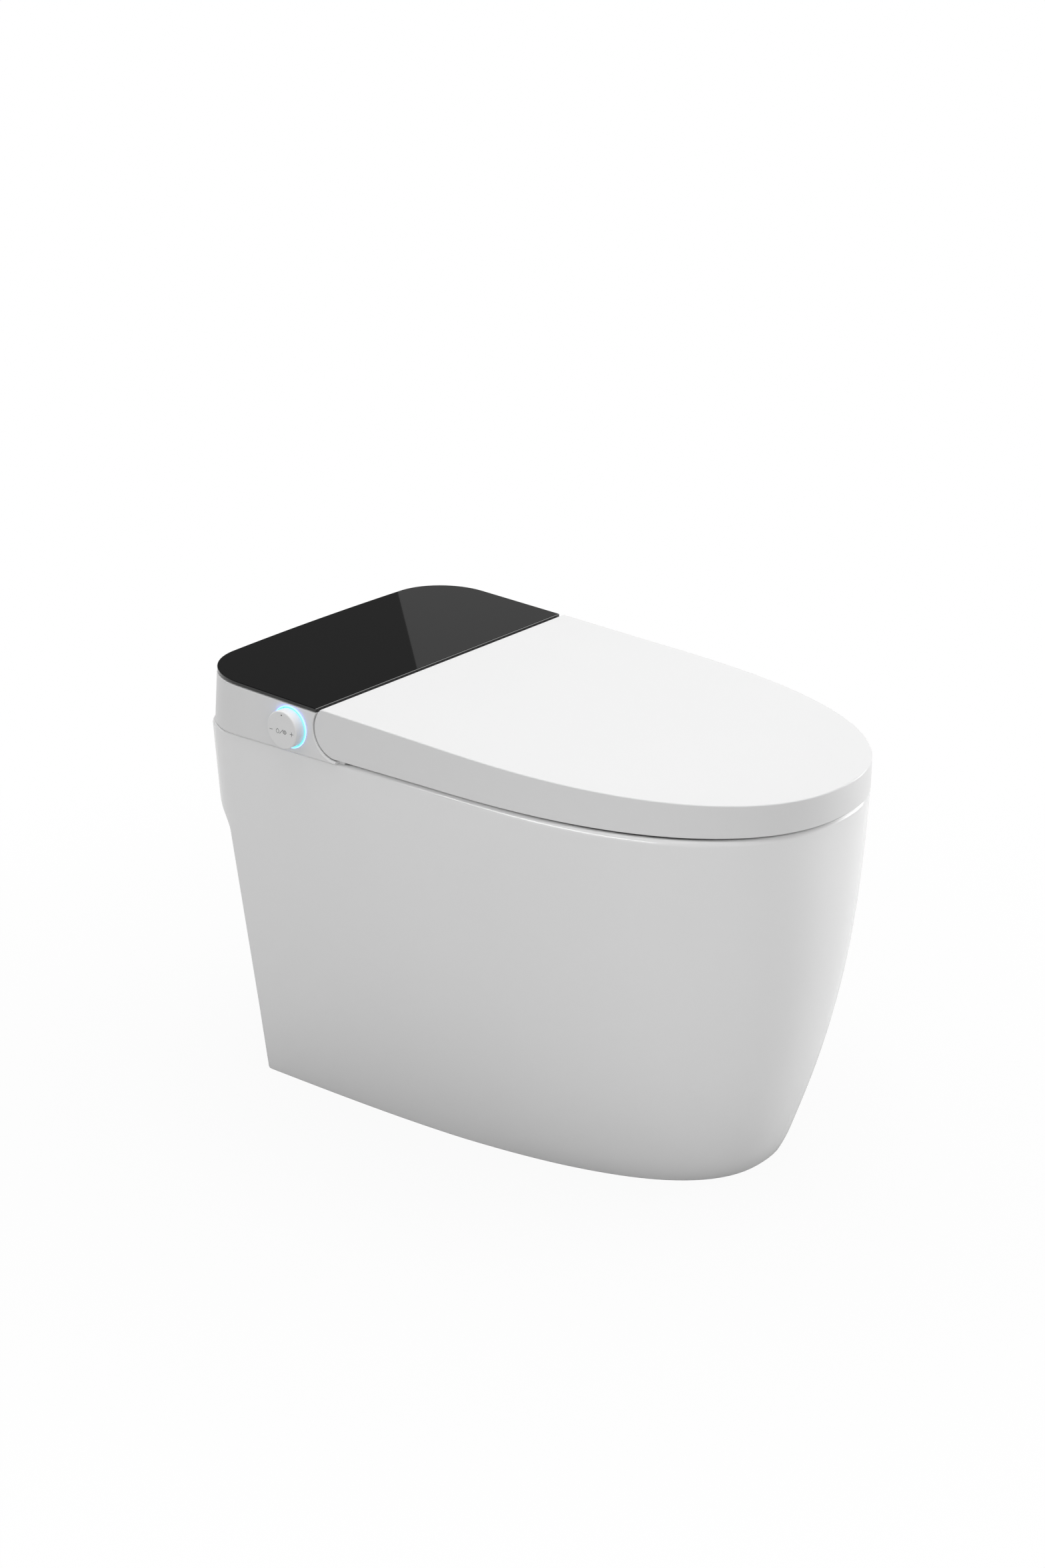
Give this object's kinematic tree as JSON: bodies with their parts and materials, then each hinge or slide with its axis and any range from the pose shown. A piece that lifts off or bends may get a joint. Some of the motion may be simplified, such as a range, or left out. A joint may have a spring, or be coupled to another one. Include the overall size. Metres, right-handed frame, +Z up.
{
  "type": "smart toilet",
  "caption": "Floor-standing one-piece ceramic toilet with powered seat and lid, spray nozzle, warm air dryer, side control knob and black glass rear cover.",
  "frame": {"origin": "centre of the drain outlet in the floor plane", "axes": "+Z up, the front of the bowl towards -Y, +X to the left of a person seated on it, away from the knob"},
  "size_m": [0.4048, 0.6802, 0.4543],
  "materials": {
    "ceramic": "gloss",
    "white_gloss": "gloss",
    "white_satin": "satin",
    "black_glass": "polished",
    "light_guide": "satin",
    "grey_rubber": "matte",
    "acetal": "satin",
    "steel": "satin",
    "white_nozzle": "gloss",
    "black_plastic": "matte",
    "motor_metal": "satin",
    "heater_case": "matte",
    "brass_fitting": "satin",
    "hose_silicone": "satin",
    "circuit_green": "satin",
    "heating_film": "satin"
  },
  "bodies": {
    "root": {"ceramic_front": "ceramic", "ceramic_rear": "ceramic", "ceramic_bowl": "ceramic", "ceramic_trap": "ceramic", "rear_housing": "white_gloss", "hinge_barrel_cover": "white_satin", "chassis_base": "white_satin", "nozzle_shroud": "white_satin", "glass_top": "black_glass", "light_ring": "light_guide", "glass_gasket": "grey_rubber", "deck_plugs": "grey_rubber", "floor_seal": "grey_rubber", "cord_gland": "grey_rubber", "knob_base": "acetal", "hinge_pins": "steel", "deck_bolts": "steel", "housing_screws": "steel", "lid_damper": "black_plastic", "seat_damper": "black_plastic", "nozzle_guide": "black_plastic", "dryer_duct": "black_plastic", "dryer_fan_housing": "black_plastic", "encoder_body": "black_plastic", "power_supply": "black_plastic", "deodoriser": "black_plastic", "inlet_valve": "black_plastic", "spray_valve": "black_plastic", "flush_pump": "black_plastic", "nozzle_motor": "motor_metal", "dryer_motor": "motor_metal", "water_heater": "heater_case", "inlet_fitting": "brass_fitting", "water_hoses": "hose_silicone", "flush_pipe": "hose_silicone", "control_board": "circuit_green", "display_board": "circuit_green"},
    "seat": {"seat_upper_shell": "white_gloss", "seat_lower_plate": "white_satin", "seat_heater": "heating_film", "seat_buffers": "grey_rubber", "seat_bushes": "acetal"},
    "lid": {"lid_shell": "white_gloss", "lid_buffers": "grey_rubber", "lid_bushes": "acetal"},
    "knob_turner": {"encoder_rotor": "acetal"},
    "knob": {"control_knob": "white_satin", "knob_shaft": "steel"},
    "nozzle": {"nozzle_wand": "steel", "nozzle_tip": "white_nozzle", "nozzle_rack": "acetal"},
    "pinion": {"nozzle_pinion": "acetal"},
    "fan": {"dryer_rotor": "black_plastic"},
    "flap": {"dryer_flap": "white_satin"}
  },
  "joints": [
    {"name": "seat_hinge", "type": "hinge", "parent": "root", "child": "seat", "pos_m": [0, 0.0824, 0.4265], "axis": [1, 0, 0], "range_deg": [-95, 0]},
    {"name": "lid_hinge", "type": "hinge", "parent": "seat", "child": "lid", "pos_m": [0, 0.0824, 0.4265], "axis": [-1, 0, 0], "range_deg": [0, 98]},
    {"name": "knob_turn", "type": "hinge", "parent": "root", "child": "knob_turner", "pos_m": [-0.1958, 0.143, 0.42], "axis": [1, 0, 0], "range_deg": [-30, 30], "stiffness_Nm_per_rad": 0.03},
    {"name": "knob_push", "type": "slide", "parent": "knob_turner", "child": "knob", "axis": [1, 0, 0], "range_m": [0, 0.002], "stiffness_N_per_m": 500, "springref_m": -0.002},
    {"name": "nozzle_slide", "type": "slide", "parent": "root", "child": "nozzle", "axis": [0, -0.9613, -0.2756], "range_m": [0, 0.105]},
    {"name": "pinion_spin", "type": "hinge", "parent": "root", "child": "pinion", "pos_m": [-0.008, 0.11351, 0.38687], "axis": [0, -0.2756, 0.9613], "range_deg": [0, 1003]},
    {"name": "fan_spin", "type": "hinge", "parent": "root", "child": "fan", "pos_m": [0.038, 0.15638, 0.36796], "axis": [1, 0, 0], "continuous": true},
    {"name": "flap_hinge", "type": "hinge", "parent": "root", "child": "flap", "pos_m": [0.038, -0.00419, 0.36925], "axis": [-1, 0, 0], "range_deg": [0, 65], "stiffness_Nm_per_rad": 0.0006, "springref_deg": -22.92}
  ],
  "couplings": [
    {"joint": "pinion_spin", "follows": "nozzle_slide", "rad_per_m": 166.67}
  ]
}
